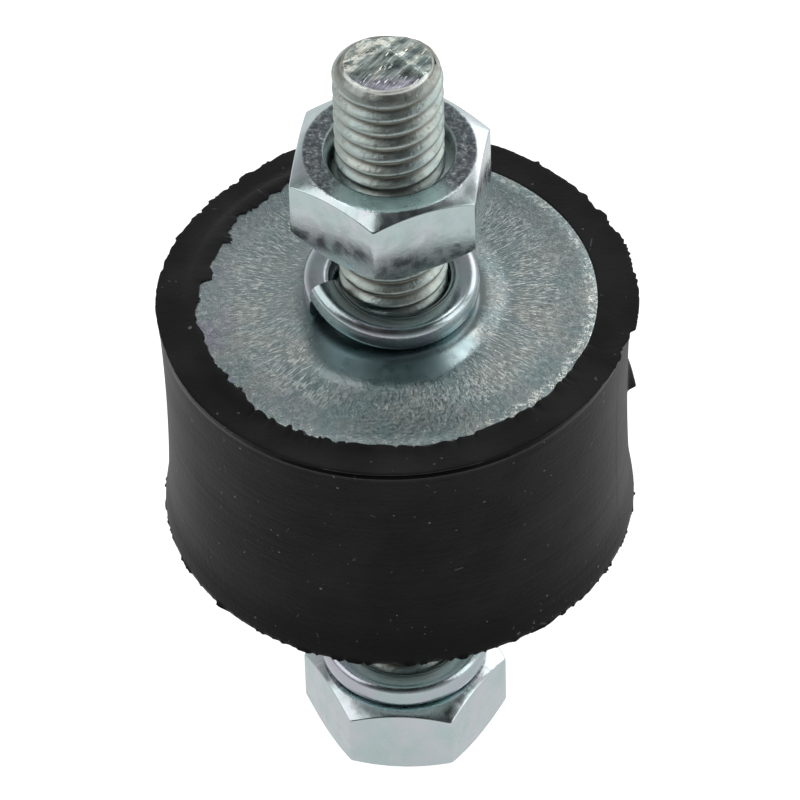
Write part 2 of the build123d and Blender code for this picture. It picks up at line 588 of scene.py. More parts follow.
@dataclass(frozen=True)
class NutFinish(ZincFinish):
    """The nuts' zinc: bright, with torn grains on the faces, save in front, darkened as painted shade, some
    of them painted glints.
    """

    # painted shade: the dark tone of the faces' grains, in place of the dark reflection from overhead
    torn: Colour = (0.17, 0.19, 0.21)
    # a pale tone for painted glints
    pale: Colour = (0.85, 0.88, 0.88)
    teal: Colour = (0.6, 0.8, 0.81)
    grain_share: Fade = (0.88, 0.98, 0.08, 1.0)
    fine_depth: float = 0.12
    faces: Range = (0.93, 0.99)
    torn_part: Range = (-0.9, -0.62)
    torn_grains: Fade = (0.42, 0.6, 1.0, 0.35)
    glints: Range = (0.6, 0.66)
    smooth_faces: Range = (0.92, 0.98)
    smooth_part: Fade = (-0.88, -0.6, 1.0, 0.0)
    front_roughness: float = 0.1

    def relief(self, graph: Graph) -> Value:
        """A coarse grain on the faces and a fine one elsewhere."""
        coarse = graph.noise(3400, 4.0, 0.75) * graph.facing.span(*self.grain_share)
        return coarse + graph.noise(5200, 4.0, 0.62) * self.fine_depth

    def tone(self, graph: Graph, colour: Value, rough: Value) -> tuple[Value, Value]:
        """The torn grains of the faces, darkened as painted shade, some of them painted glints, and the
        smooth teal front.
        """
        y = graph.direction[1]
        faces = graph.facing.span(*self.faces) * y.span(*self.torn_part)
        grain = graph.noise(2900, 4.0, 0.8)
        # the faces' grains darkened as painted shade
        colour = graph.blend(grain.span(*self.torn_grains) * faces, colour, self.torn)
        # painted glints
        colour = graph.blend(grain.span(*self.glints) * faces, colour, self.pale)
        front = graph.facing.span(*self.smooth_faces) * y.span(*self.smooth_part)
        return graph.blend(front, colour, self.teal), rough + front * self.front_roughness


# each zinc's cool and warm colour, its roughness and the depth of its relief
PLATE_ZINC = PlateFinish(
    "wrinkled_plate_zinc", (0.33, 0.42, 0.43), (0.42, 0.46, 0.45), (0.18, 0.28), 0.13 * MM,
)
THREAD_ZINC = ThreadFinish(
    "rolled_thread_zinc", (0.38, 0.46, 0.45), (0.47, 0.52, 0.48), (0.3, 0.44), 0.03 * MM,
)
TIP_ZINC = TipFinish(
    "sheared_tip_zinc", (0.38, 0.48, 0.45), (0.48, 0.54, 0.5), (0.14, 0.26), 0.14 * MM,
)
WASHER_ZINC = ZincFinish(
    "spring_washer_zinc", (0.44, 0.53, 0.54), (0.5, 0.51, 0.56), (0.14, 0.26), 0.008 * MM,
)
NUT_ZINC = NutFinish(
    "hex_nut_zinc", (0.51, 0.61, 0.61), (0.59, 0.63, 0.66), (0.14, 0.28), 0.03 * MM,
)
RUBBER = RubberFinish()


def directions(columns: int) -> Array:
    """Evenly spaced directions round the axis, in radians."""
    return np.linspace(0, FULL_TURN, columns, endpoint=False)


def wrapped(angles: Array) -> Array:
    """Angles in radians as azimuths from -180 to 180 degrees."""
    return (np.degrees(angles) + 180) % 360 - 180


def even(side: Any, columns: int) -> Array:
    """A radius or a height in each direction, from a number or from one for each."""
    return np.broadcast_to(np.asarray(side, float), columns)


def wave(marks: Marks, angles: Array) -> Array:
    """The value of marks round the axis at each angle, joined by even slopes."""
    places, values = (np.array(column) for column in zip(*marks))
    return np.interp(wrapped(angles), places, values, period=360)


def ragged(angles: Array, seed: int, teeth: int) -> Array:
    """Torn steps round the axis, from -1 to 1.

    Args:
        angles: azimuths in radians.
        seed: the random seed.
        teeth: the number of steps in a full turn.

    Returns:
        The height of the tear at each angle.
    """
    random = np.random.default_rng(seed)
    knots = np.sort(random.uniform(0, FULL_TURN, teeth))
    return np.interp(angles % FULL_TURN, knots, random.uniform(-1, 1, teeth), period=FULL_TURN)


def add_object(name: str, data: Any) -> bpy.types.Object:
    """Makes an object of its data and puts it in the scene."""
    made = bpy.data.objects.new(name, data)
    bpy.context.scene.collection.objects.link(made)
    return made


def face_outwards(mesh: Mesh) -> None:
    """Merges doubled points and turns the faces to look out of the solid."""
    shape = bmesh.new()
    shape.from_mesh(mesh)
    bmesh.ops.remove_doubles(shape, verts=shape.verts, dist=0.0005 * MM)
    if shape.calc_volume(signed=True) < 0:
        bmesh.ops.reverse_faces(shape, faces=shape.faces)
    shape.to_mesh(mesh)
    shape.free()


def smooth(mesh: Mesh, sharp_angle: float) -> None:
    """Shades a mesh smooth, save over edges sharper than this many degrees."""
    mesh.shade_smooth()
    if sharp_angle < 180.0:
        mesh.set_sharp_from_angle(angle=math.radians(sharp_angle))


def ring_points(radii: Array, heights: Array, angles: Array) -> Array:
    """Points of rings round Z, one row of three coordinates each."""
    return np.stack((radii * np.cos(angles), radii * np.sin(angles), heights), axis=-1).reshape(-1, 3)


def ring_faces(rows: Array, later: Array) -> Faces:
    """Quads between each row of points and the next, with the columns' neighbours given by later."""
    quads = np.stack((rows[:-1], later[:-1], later[1:], rows[1:]), axis=-1)
    return quads.reshape(-1, 4).tolist()


def make_mesh(name: str, points: Array, faces: Faces, sharp_angle: float = 180.0) -> Mesh:
    """Makes a closed, smooth-shaded mesh.

    Args:
        name: the mesh's name.
        points: its points, in metres.
        faces: its faces, as point numbers.
        sharp_angle: edges sharper than this many degrees stay sharp.

    Returns:
        The mesh, facing outwards.
    """
    mesh = bpy.data.meshes.new(name)
    mesh.from_pydata(points.tolist(), [], faces)
    mesh.validate()
    face_outwards(mesh)
    smooth(mesh, sharp_angle)
    return mesh


def turned_mesh(
    name: str, radii: Array, heights: Array, closing: Closing, sharp_angle: float = 180.0
) -> Mesh:
    """Makes a turned mesh from rings that may vary round the axis.

    Args:
        name: the mesh's name.
        radii: a row for each ring and a column for each direction.
        heights: the rings' heights, in the same shape.
        closing: how the first and last rings are closed.
        sharp_angle: edges sharper than this many degrees stay sharp.

    Returns:
        The closed mesh.
    """
    points = ring_points(radii, heights, directions(radii.shape[1]))
    order = np.arange(radii.size).reshape(radii.shape)
    if closing is Closing.BORE:
        order = np.vstack((order, order[:1]))
    faces = ring_faces(order, np.roll(order, -1, axis=1))
    if closing is Closing.POLES:
        first, last = len(points), len(points) + 1
        points = np.vstack((points, [(0, 0, heights[0].mean()), (0, 0, heights[-1].mean())]))
        faces += [[first, int(b), int(a)] for a, b in zip(order[0], np.roll(order[0], -1))]
        faces += [[last, int(a), int(b)] for a, b in zip(order[-1], np.roll(order[-1], -1))]
    return make_mesh(name, points, faces, sharp_angle)


@dataclass(frozen=True)
class Corner:
    """A corner of a turned outline: its radius and height, each a number or one for each direction."""

    radius: Any
    height: Any
    softness: float = 0.0


def softened(corners: list[Corner], columns: int, closing: Closing, steps: int = 4) -> tuple[Array, Array]:
    """Rounds the corners of a turned outline.

    Args:
        corners: the outline's corners in order.
        columns: the number of directions round the axis.
        closing: whether the outline runs round a bore, so that its ends are neighbours.
        steps: the number of steps in each rounded corner.

    Returns:
        The radii and the heights of the rings.
    """
    largest_share = 0.45
    outline = [np.array([even(corner.radius, columns), even(corner.height, columns)]) for corner in corners]
    rings = []
    for number, (corner, here) in enumerate(zip(corners, outline)):
        at_end = closing is Closing.POLES and number in (0, len(corners) - 1)
        if corner.softness == 0 or at_end:
            rings.append(here)
            continue
        sides = []
        for other in (outline[number - 1], outline[(number + 1) % len(corners)]):
            run = other - here
            length = np.maximum(np.hypot(*run), 1e-9)
            sides.append(here + run / length * np.minimum(corner.softness, largest_share * length))
        for share in np.linspace(0, 1, steps + 1):
            rings.append((1 - share) ** 2 * sides[0] + 2 * share * (1 - share) * here + share**2 * sides[1])
    grid = np.array(rings)
    return grid[:, 0], grid[:, 1]


def place_piece(mesh: Mesh, name: str, node: str, body: str) -> None:
    """Puts a mesh in the scene in place of a node of the frame.

    Args:
        mesh: the finished mesh, in the frame's axes.
        name: the piece's name.
        node: the node that the piece stands for.
        body: the body that it rides on.
    """
    piece = add_object(name, mesh)
    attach(piece, body)
    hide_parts(node)
    LOG.info("%s: %d faces, on body %s", name, len(mesh.polygons), body)


def start_geometry(name: str, sizes: tuple[str, ...], takes_geometry: bool) -> tuple[Graph, dict[str, Value]]:
    """Starts a geometry node tree with named inputs.

    Args:
        name: the tree's name.
        sizes: the names of its sizes.
        takes_geometry: whether the tree changes the object's own mesh.

    Returns:
        The tree's graph, and its inputs by name.
    """
    tree = bpy.data.node_groups.new(name, "GeometryNodeTree")
    tree.interface.new_socket("Geometry", in_out="OUTPUT", socket_type="NodeSocketGeometry")
    kinds = {"Geometry": "NodeSocketGeometry"} if takes_geometry else {}
    kinds |= dict.fromkeys(sizes, "NodeSocketFloat") | {"Material": "NodeSocketMaterial"}
    for word, kind in kinds.items():
        tree.interface.new_socket(word, in_out="INPUT", socket_type=kind)
    graph = Graph(tree, Source.POINT)
    return graph, {socket.name: Value(graph, socket) for socket in graph.node("NodeGroupInput").outputs}


def finish_geometry(graph: Graph, geometry: Value, material: Value) -> None:
    """Ends a geometry tree in Realize Instances and Set Material."""
    real = graph.give("GeometryNodeRealizeInstances", {0: geometry})
    dressed = graph.give("GeometryNodeSetMaterial", {"Geometry": real, "Material": material})
    graph.node("NodeGroupOutput", {0: dressed})


def grown_mesh(name: str, start: Mesh, tree: Tree, sizes: dict[str, Any]) -> Mesh:
    """Runs a geometry tree on a mesh and keeps the result as a plain mesh.

    Args:
        name: the result's name.
        start: the mesh that the tree is given.
        tree: the geometry node tree.
        sizes: the tree's inputs by name.

    Returns:
        The plain mesh.
    """
    holder = add_object(f"{name}_source", start)
    modifier = holder.modifiers.new(tree.name, "NODES")
    modifier.node_group = tree
    for item in tree.interface.items_tree:
        if item.in_out == "INPUT" and item.name in sizes:
            modifier[item.identifier] = sizes[item.name]
    bpy.context.view_layer.update()
    evaluated = holder.evaluated_get(bpy.context.evaluated_depsgraph_get())
    mesh = bpy.data.meshes.new_from_object(evaluated)
    mesh.name = name
    holder.modifiers.remove(modifier)
    bpy.data.objects.remove(holder)
    return mesh


THREAD_SIZES = (
    "Pitch", "Major Radius", "Minor Radius", "Dents", "Foot Height", "Foot Fade", "Tip Height", "Tip Fade",
)


@dataclass(frozen=True)
class ThreadRule:
    """A right-hand thread: its radius at a point follows from the point's height and direction."""

    pitch: float = 1.0 * MM
    major: float = 2.95 * MM
    minor: float = 2.55 * MM
    flank: Range = (0.1, 0.84)
    dents: float = 0.05
    dent_span: Range = (0.52, 0.78)
    bare_share: float = 0.4

    def tree(self, cut: Cut) -> Tree:
        """Builds the tree that cuts the thread into a turned mesh.

        Args:
            cut: whether the thread stands on a shank or is cut in a bore.

        Returns:
            The geometry node tree.
        """
        graph, given = start_geometry(f"{cut.value}_thread", THREAD_SIZES, takes_geometry=True)
        (x, y, z), radius = graph.coordinates, graph.radius
        climb = z / given["Pitch"] - graph.math("ARCTAN2", y, x) / FULL_TURN
        ridge = abs(graph.math("FRACT", climb) - 0.5) * 2.0
        dent = graph.noise(1400.0).span(*self.dent_span) * given["Dents"]
        kept = ridge.span(*self.flank, even=True) * (1.0 - dent)
        thread = given["Minor Radius"] + kept * (given["Major Radius"] - given["Minor Radius"])
        wanted = graph.math("MINIMUM" if cut is Cut.EXTERNAL else "MAXIMUM", radius, thread)
        foot_share = abs(z - given["Foot Height"]).span(0.0, given["Foot Fade"])
        tip_share = abs(z - given["Tip Height"]).span(given["Tip Fade"] * self.bare_share, given["Tip Fade"])
        changed = radius + (wanted - radius) * (foot_share * tip_share)
        scale = changed / graph.highest(radius, 0.001 * MM)
        moved = graph.join(x * scale, y * scale, z)
        threaded = graph.give("GeometryNodeSetPosition", {"Geometry": given["Geometry"], "Position": moved})
        finish_geometry(graph, threaded, given["Material"])
        return graph.tree

    def sizes(
        self, foot: float, foot_fade: float, tip: float, tip_fade: float, material: bpy.types.Material
    ) -> dict[str, Any]:
        """Gives the tree's inputs for one thread.

        Args:
            foot: the height at which the thread starts.
            foot_fade: the length over which it rises there.
            tip: the height of the shank's tip.
            tip_fade: the length under the tip that has no full thread.
            material: the thread's material.

        Returns:
            The inputs by name.
        """
        values = (self.pitch, self.major, self.minor, self.dents, foot, foot_fade, tip, tip_fade)
        return dict(zip(THREAD_SIZES, values)) | {"Material": material}


@dataclass(frozen=True)
class SoftBox:
    """A lamp that looks at the mount: where it stands in degrees and metres, its size and its watts."""

    name: str
    azimuth: float
    height: float
    distance: float
    size: Range
    power: float

    def light(self, aim: Vector) -> None:
        """Puts the lamp in the scene, turned to the place it looks at."""
        data = bpy.data.lights.new(self.name, "AREA")
        data.shape = "RECTANGLE"
        data.size, data.size_y = self.size
        data.energy = self.power
        lamp = add_object(self.name, data)
        round_z, up = math.radians(self.azimuth), math.radians(self.height)
        away = Vector((math.cos(round_z) * math.cos(up), math.sin(round_z) * math.cos(up), math.sin(up)))
        lamp.location = aim + away * self.distance
        lamp.rotation_mode = "QUATERNION"
        lamp.rotation_quaternion = away.to_track_quat("Z", "Y")


@dataclass
class Studio:
    """The camera, the lamps, the room and the floor."""

    distance: float = 420.0 * MM
    elevation: float = 46.71
    roll: float = -1.7
    aim: Vector = field(default_factory=lambda: Vector((0.157, 0.0, 25.364)) * MM)
    focal_pixels: float = 7641.4
    picture_pixels: int = 800
    sensor: float = 36.0
    clip: Range = (10 * MM, 10.0)
    floor_size: float = 3.0
    floor_colour: Colour = (0.42, 0.42, 0.42)
    floor_seen: float = 0.96
    floor_mirrored: float = 0.6
    front_shade: float = 0.5
    left_shade: float = 0.3
    room_colour: Colour = (0.98, 0.99, 1.0)
    room_dimming: Fade = (0.1, 1.0, 1.0, 0.04)
    lamps: tuple[SoftBox, ...] = (
        SoftBox("left_soft_box", 190.0, 50.0, 0.55, (0.45, 0.58), 1.1),
        SoftBox("right_soft_box", -10.0, 30.0, 0.6, (0.3, 0.36), 0.48),
        SoftBox("back_right_soft_box", 44.0, 23.0, 0.6, (0.44, 0.32), 0.57),
        SoftBox("top_left_spot", 150.0, 68.0, 0.55, (0.14, 0.14), 0.1),
        SoftBox("top_right_spot", 30.0, 60.0, 0.55, (0.16, 0.16), 0.2),
    )

    def make_camera(self) -> None:
        """Makes the camera at the photograph's viewing angle."""
        lift, turn = math.radians(self.elevation), math.radians(self.roll)
        look = Vector((0, math.cos(lift), -math.sin(lift)))
        right, up = Vector((1, 0, 0)), Vector((0, math.sin(lift), math.cos(lift)))
        across = right * math.cos(turn) + up * math.sin(turn)
        upward = up * math.cos(turn) - right * math.sin(turn)
        data = bpy.data.cameras.new("product_camera")
        data.sensor_width = self.sensor
        data.lens = self.focal_pixels / self.picture_pixels * self.sensor
        data.clip_start, data.clip_end = self.clip
        camera = add_object("product_camera", data)
        axes = Matrix((across, upward, -look)).transposed().to_4x4()
        camera.matrix_world = Matrix.Translation(self.aim - look * self.distance) @ axes
        bpy.context.scene.camera = camera

    def make_room(self) -> None:
        """Makes the room: white to the camera, and pale to the mount, save overhead and in front."""
        world = bpy.data.worlds.new("studio_room")
        bpy.context.scene.world = world
        world.use_nodes = True
        world.node_tree.nodes.clear()
        graph = Graph(world.node_tree, Source.ROOM)
        side, depth, height = graph.coordinates
        shade = graph.highest(depth * -self.front_shade, 0.0) + graph.highest(side * -self.left_shade, 0.0)
        dim = (height + shade).span(*self.room_dimming, even=True)
        room = graph.give("ShaderNodeBackground", {"Color": self.room_colour, "Strength": dim})
        white = graph.give("ShaderNodeBackground", {"Color": (1, 1, 1), "Strength": 1.0})
        seen = graph.give("ShaderNodeLightPath", output="Is Camera Ray")
        mixed = graph.give("ShaderNodeMixShader", {0: seen, 1: room, 2: white})
        graph.node("ShaderNodeOutputWorld", {"Surface": mixed})

    def make_floor(self) -> None:
        """Makes the pale floor, which shows white and keeps the mount's shadow."""
        half = self.floor_size / 2
        mesh = bpy.data.meshes.new("floor")
        corners = [(-half, -half, 0), (half, -half, 0), (half, half, 0), (-half, half, 0)]
        mesh.from_pydata(corners, [], [(0, 1, 2, 3)])
        floor = add_object("floor", mesh)
        material, graph = empty_material("pale_floor")
        matt = graph.give("ShaderNodeBsdfDiffuse", {"Color": self.floor_colour})
        rays = ("Camera", "Glossy", "Transmission")
        seen, glossy, clear = (graph.give("ShaderNodeLightPath", output=f"Is {ray} Ray") for ray in rays)
        lift = seen * self.floor_seen + graph.highest(glossy, clear) * self.floor_mirrored
        glow = graph.give("ShaderNodeEmission", {"Strength": lift})
        lifted = graph.give("ShaderNodeAddShader", {0: matt, 1: glow})
        graph.node("ShaderNodeOutputMaterial", {"Surface": lifted})
        mesh.materials.append(material)

    def build(self) -> None:
        """Makes the whole studio."""
        self.make_camera()
        self.make_room()
        self.make_floor()
        for lamp in self.lamps:
            lamp.light(self.aim)
        bpy.context.scene.view_settings.view_transform = "Standard"
        LOG.info("studio: camera, room, floor and %d lamps", len(self.lamps))


@dataclass(frozen=True)
class MouldedIn:
    """A hubbed plate and the stud's head under its hub, which the rubber is moulded round."""

    radius: float = 11.05 * MM
    thickness: float = 1.5 * MM
    hub_rise: float = 0.45 * MM
    hub_flat: float = 5.3 * MM
    hub_foot: float = 6.45 * MM
    head_height: float = 2.0 * MM

    @property
    def head_top(self) -> float:
        """The height of the head's top over the plate's outer face."""
        return self.hub_rise - self.thickness

    @property
    def head_foot(self) -> float:
        """The height of the head's underside over the plate's outer face."""
        return self.head_top - self.head_height


INNER = MouldedIn()


@dataclass
class RubberBlock:
    """The moulded rubber body, with its waist, its lips, its torn flash and its film over the plates."""

    levels: Levels
    columns: int = 820
    wall_rows: int = 58
    rim_radius: float = 12.95 * MM
    wall_radius: float = 12.86 * MM
    waist_radius: float = 12.66 * MM
    unevenness: float = 0.02 * MM
    foot_bulge: float = 0.17 * MM
    bulge_height: float = 1.6 * MM
    lip_height: float = 0.56 * MM
    film_thickness: float = 0.05 * MM
    crown_width: float = 0.22 * MM
    swell: float = 0.018 * MM
    flash_thickness: float = 0.12 * MM
    slit_depth: float = 0.5 * MM
    slit_height: float = 0.27 * MM
    # how far the upper lip stands out over the wall, by azimuth, with 1 as fully
    lip_share: Marks = (
        (-180, 0.0), (-136, 0.0), (-118, 0.35), (-102, 1.0), (-80, 1.0), (-64, 0.35), (-46, 0.1), (-30, 0.0),
        (180, 0.0),
    )
    # the upper rim's reach past its radius, by azimuth, in millimetres
    upper_reach: Marks = (
        (-180, 0.0), (-165, -0.1), (-146, -0.02), (-114, 0.04), (-60, 0.0), (-33, 0.06), (-13.5, 0.04),
        (-12, 0.28), (-6, 0.33), (5, 0.24), (16, 0.24), (30, 0.08), (50.4, 0.0), (51.2, 0.2), (52, 0.0),
        (90, -0.08), (113, -0.22), (124, -0.28), (133, -0.42), (147, -0.26), (165, -0.05), (180, 0.0),
    )
    # how torn the upper rim is, by azimuth, with 1 as fully torn
    rim_tear: Marks = (
        (-180, 0.4), (-110, 0.15), (-40, 0.3), (-14, 1.9), (30, 1.8), (48, 0.5), (60, 0.5), (100, 1.3),
        (115, 2.1), (150, 1.9), (170, 0.8), (180, 0.4),
    )
    # where the rubber film ends on the upper plate, by azimuth, in millimetres
    film_edge: Marks = (
        (-180, 10.6), (-168, 10.7), (-160, 10.95), (-148, 10.6), (-136, 10.75), (-118, 11.0), (-60, 10.98),
        (-36, 11.0), (-16, 11.08), (80, 11.1), (104, 11.05), (118, 10.75), (130, 10.3), (142, 10.35),
        (155, 10.0), (168, 10.05), (172, 10.5), (180, 10.6),
    )
    # how torn the film's edge is, by azimuth, in millimetres
    film_tear: Marks = (
        (-180, 0.5), (-150, 0.4), (-125, 0.25), (-100, 0.15), (-50, 0.13), (-20, 0.05), (92, 0.02),
        (108, 0.25), (125, 0.45), (180, 0.5),
    )
    # the lower plate's film is hidden, and plain all round
    lower_film_edge: Marks = ((-180, 10.95), (180, 10.95))
    lower_film_tear: Marks = ((-180, 0.12), (180, 0.12))
    tab_level: float = 25.95 * MM
    tab_height: float = 2.2 * MM
    tab_reach: float = 0.5 * MM
    tab_width: float = 1.1
    tab_taper: float = 0.7

    @cached_property
    def angles(self) -> Array:
        """The directions of the columns, in radians."""
        return directions(self.columns)

    def rim(self, end: End) -> Array:
        """An end's outline: the upper with its flash and its sheared teeth, the lower torn all round."""
        if end is End.UPPER:
            teeth = 0.05 * ragged(self.angles, 11, 420) + 0.05 * ragged(self.angles, 12, 150)
            reach = wave(self.upper_reach, self.angles) + teeth * wave(self.rim_tear, self.angles)
        else:
            reach = 0.06 + 0.12 * ragged(self.angles, 21, 420) + 0.08 * ragged(self.angles, 22, 110)
        return self.held(self.rim_radius + reach * MM)

    def held(self, radius: Array) -> Array:
        """The radius, held just inside the frame's own reach."""
        return np.minimum(radius, self.levels.rubber_reach - 0.005 * MM)

    def film(self, end: End, seed: int) -> Array:
        """The torn inner edge of the film that lies over a plate.

        Args:
            end: the end of the mount.
            seed: the random seed.

        Returns:
            The edge's radius in each direction.
        """
        upper = end is End.UPPER
        edge = wave(self.film_edge if upper else self.lower_film_edge, self.angles) * MM
        tear = wave(self.film_tear if upper else self.lower_film_tear, self.angles) * MM
        return edge + tear * (0.6 * ragged(self.angles, seed, 120) + 0.4 * ragged(self.angles, seed + 1, 330))

    def end_rings(self, end: End) -> list[tuple[Any, Any]]:
        """Rings of one end, from the axis out to the rim: the seats of head and plate, the film and the top.

        Args:
            end: the end of the mount.

        Returns:
            Pairs of radii and heights, with heights as distances out from the plate's face.
        """
        proud = abs(self.levels.faces[end] - self.levels.rubber[1 if end is End.UPPER else 0])
        seed = 31 if end is End.UPPER else 41
        edge, rim = self.film(end, seed), self.rim(end)
        covered = np.clip((INNER.radius - edge) / self.film_thickness, 0, 1)
        edge = np.where(covered > 0, edge, INNER.radius + 0.01 * MM)
        under, top = -INNER.thickness, -proud
        lie = covered * (0.004 * MM) + (1 - covered) * (top - 0.03 * MM)
        crown = covered * self.film_thickness + (1 - covered) * top
        crown_edge = INNER.radius + self.crown_width
        rows = [
            (0.02 * MM, INNER.head_foot),
            (INNER.hub_flat, INNER.head_foot),
            (INNER.hub_flat, INNER.head_top),
            (INNER.hub_foot, under),
            (INNER.radius, under),
            (INNER.radius, (under + top) / 2),
            (np.maximum(INNER.radius, edge), np.minimum(lie, top + covered * proud)),
            (edge, lie),
            (edge + 0.004 * MM, (lie + crown) / 2 + 0.01 * MM * covered),
            (edge + 0.04 * MM, crown),
            (np.maximum(edge + 0.1 * MM, INNER.radius - 0.02 * MM), crown),
            (crown_edge, 0.35 * crown + 0.65 * top),
        ]
        swell = self.swell * (ragged(self.angles, seed + 5, 40) - 1)
        for share in np.linspace(0.25, 1, 7):
            radius = (1 - share) * crown_edge + share * (rim - 0.1 * MM)
            rows.append((radius, top + swell * math.sin(math.pi * share)))
        return rows + [(rim - 0.03 * MM, top - 0.008 * MM), (rim, top - 0.035 * MM)]

    def lip_rings(self) -> list[tuple[Array, Any]]:
        """Rings under the upper rim: the flash's underside, and the thin lip over its slit.

        Returns:
            Pairs of radii and depths under the rubber's top.
        """
        share, flash = wave(self.lip_share, self.angles), self.flash_thickness
        rim = self.rim(End.UPPER)
        wall = np.minimum(rim - 0.02 * MM, self.wall_radius)
        lip = wall + share * (np.minimum(rim - 0.02 * MM, self.rim_radius) - wall)
        return [
            (rim - 0.01 * MM, flash),
            (lip, flash + 0.02 * MM),
            (wall - share * self.slit_depth, flash + 0.04 * MM),
            (wall - share * self.slit_depth, flash + 0.05 * MM + share * self.slit_height),
            (wall, self.lip_height),
        ]

    def wall(self, height: float) -> Array:
        """The wall's radius at a height: waisted, swollen at its foot, with the torn tab on its right."""
        low, high = self.levels.rubber
        away = (height - (low + high) / 2) / ((high - low) / 2)
        radius = self.waist_radius + (self.wall_radius - self.waist_radius) * away**2
        radius += self.foot_bulge * math.exp(-(((height - low) / self.bulge_height) ** 2))
        radius = radius + self.unevenness * ragged(self.angles, 51, 24) * math.cos(away * math.pi / 2)
        rise = (height - self.tab_level) / self.tab_height
        if 0 <= rise <= 1:
            across = np.exp(-((wrapped(self.angles) / self.tab_width) ** 2))
            radius = radius + self.tab_reach * (1 - rise) ** self.tab_taper * across
        return self.held(radius)

    def build(self) -> None:
        """Builds the rubber and puts it in place of its node."""
        low, high = self.levels.rubber
        upper, lower = (self.end_rings(end) for end in End)
        heights = np.linspace(high - self.lip_height - 0.05 * MM, low + self.flash_thickness, self.wall_rows)
        heights = np.sort(np.append(heights, (self.tab_level - 0.02 * MM, self.tab_level + 0.001 * MM)))[::-1]
        rings = [(radius, self.levels.faces[End.UPPER] + out) for radius, out in upper]
        rings += [(radius, high - depth) for radius, depth in self.lip_rings()]
        rings += [(self.wall(height), height) for height in heights]
        rings += [(radius, self.levels.faces[End.LOWER] - out) for radius, out in reversed(lower)]
        radii, levels = (np.array([even(ring, self.columns) for ring in side]) for side in zip(*rings))
        mesh = turned_mesh("moulded_rubber", radii, levels, Closing.POLES, sharp_angle=60.0)
        mesh.materials.append(RUBBER.build())
        place_piece(mesh, "moulded_rubber", "rubber_body", "mount")


@dataclass
class SteelPlates:
    """The two round plates, each pressed up into a shallow hub with soft bends."""

    levels: Levels
    columns: int = 256
    bore: float = 2.95 * MM
    hub_bend: float = 0.34 * MM
    bend_steps: int = 8
    hub_top: float = 5.05 * MM
    # the radius of the hub's foot on the outer face, by azimuth, in millimetres
    hub_edge: Marks = (
        (-180, 6.8), (-150, 7.0), (-118, 7.2), (-90, 7.0), (-66, 6.6), (-45, 6.15), (-20, 6.1), (30, 6.3),
        (120, 6.6), (180, 6.8),
    )
    edge_round: float = 0.3 * MM
    border_width: float = 0.6 * MM
    border_drop: float = 0.09 * MM
    sharp_angle: float = 50.0

    def build(self) -> None:
        """Builds both plates and puts them in place of their nodes."""
        material = PLATE_ZINC.build()
        corners = [
            Corner(self.bore, INNER.hub_rise),
            Corner(self.hub_top, INNER.hub_rise, self.hub_bend),
            Corner(wave(self.hub_edge, directions(self.columns)) * MM, 0.0, self.hub_bend),
            Corner(INNER.radius - self.border_width, 0.0, self.edge_round),
            Corner(INNER.radius - 0.02 * MM, -self.border_drop, 0.05 * MM),
            Corner(INNER.radius, -self.edge_round),
            Corner(INNER.radius, -INNER.thickness, self.edge_round),
            Corner(INNER.hub_foot, -INNER.thickness, self.hub_bend),
            Corner(INNER.hub_flat, INNER.head_top, self.hub_bend),
            Corner(self.bore, INNER.head_top),
        ]
        radii, heights = softened(corners, self.columns, Closing.BORE, self.bend_steps)
        for end in End:
            name = f"{end.word}_zinc_plate"
            levels = self.levels.faces[end] + end.value * heights
            mesh = turned_mesh(name, radii, levels, Closing.BORE, self.sharp_angle)
            mesh.materials.append(material)
            place_piece(mesh, name, f"{end.word}_plate", "mount")


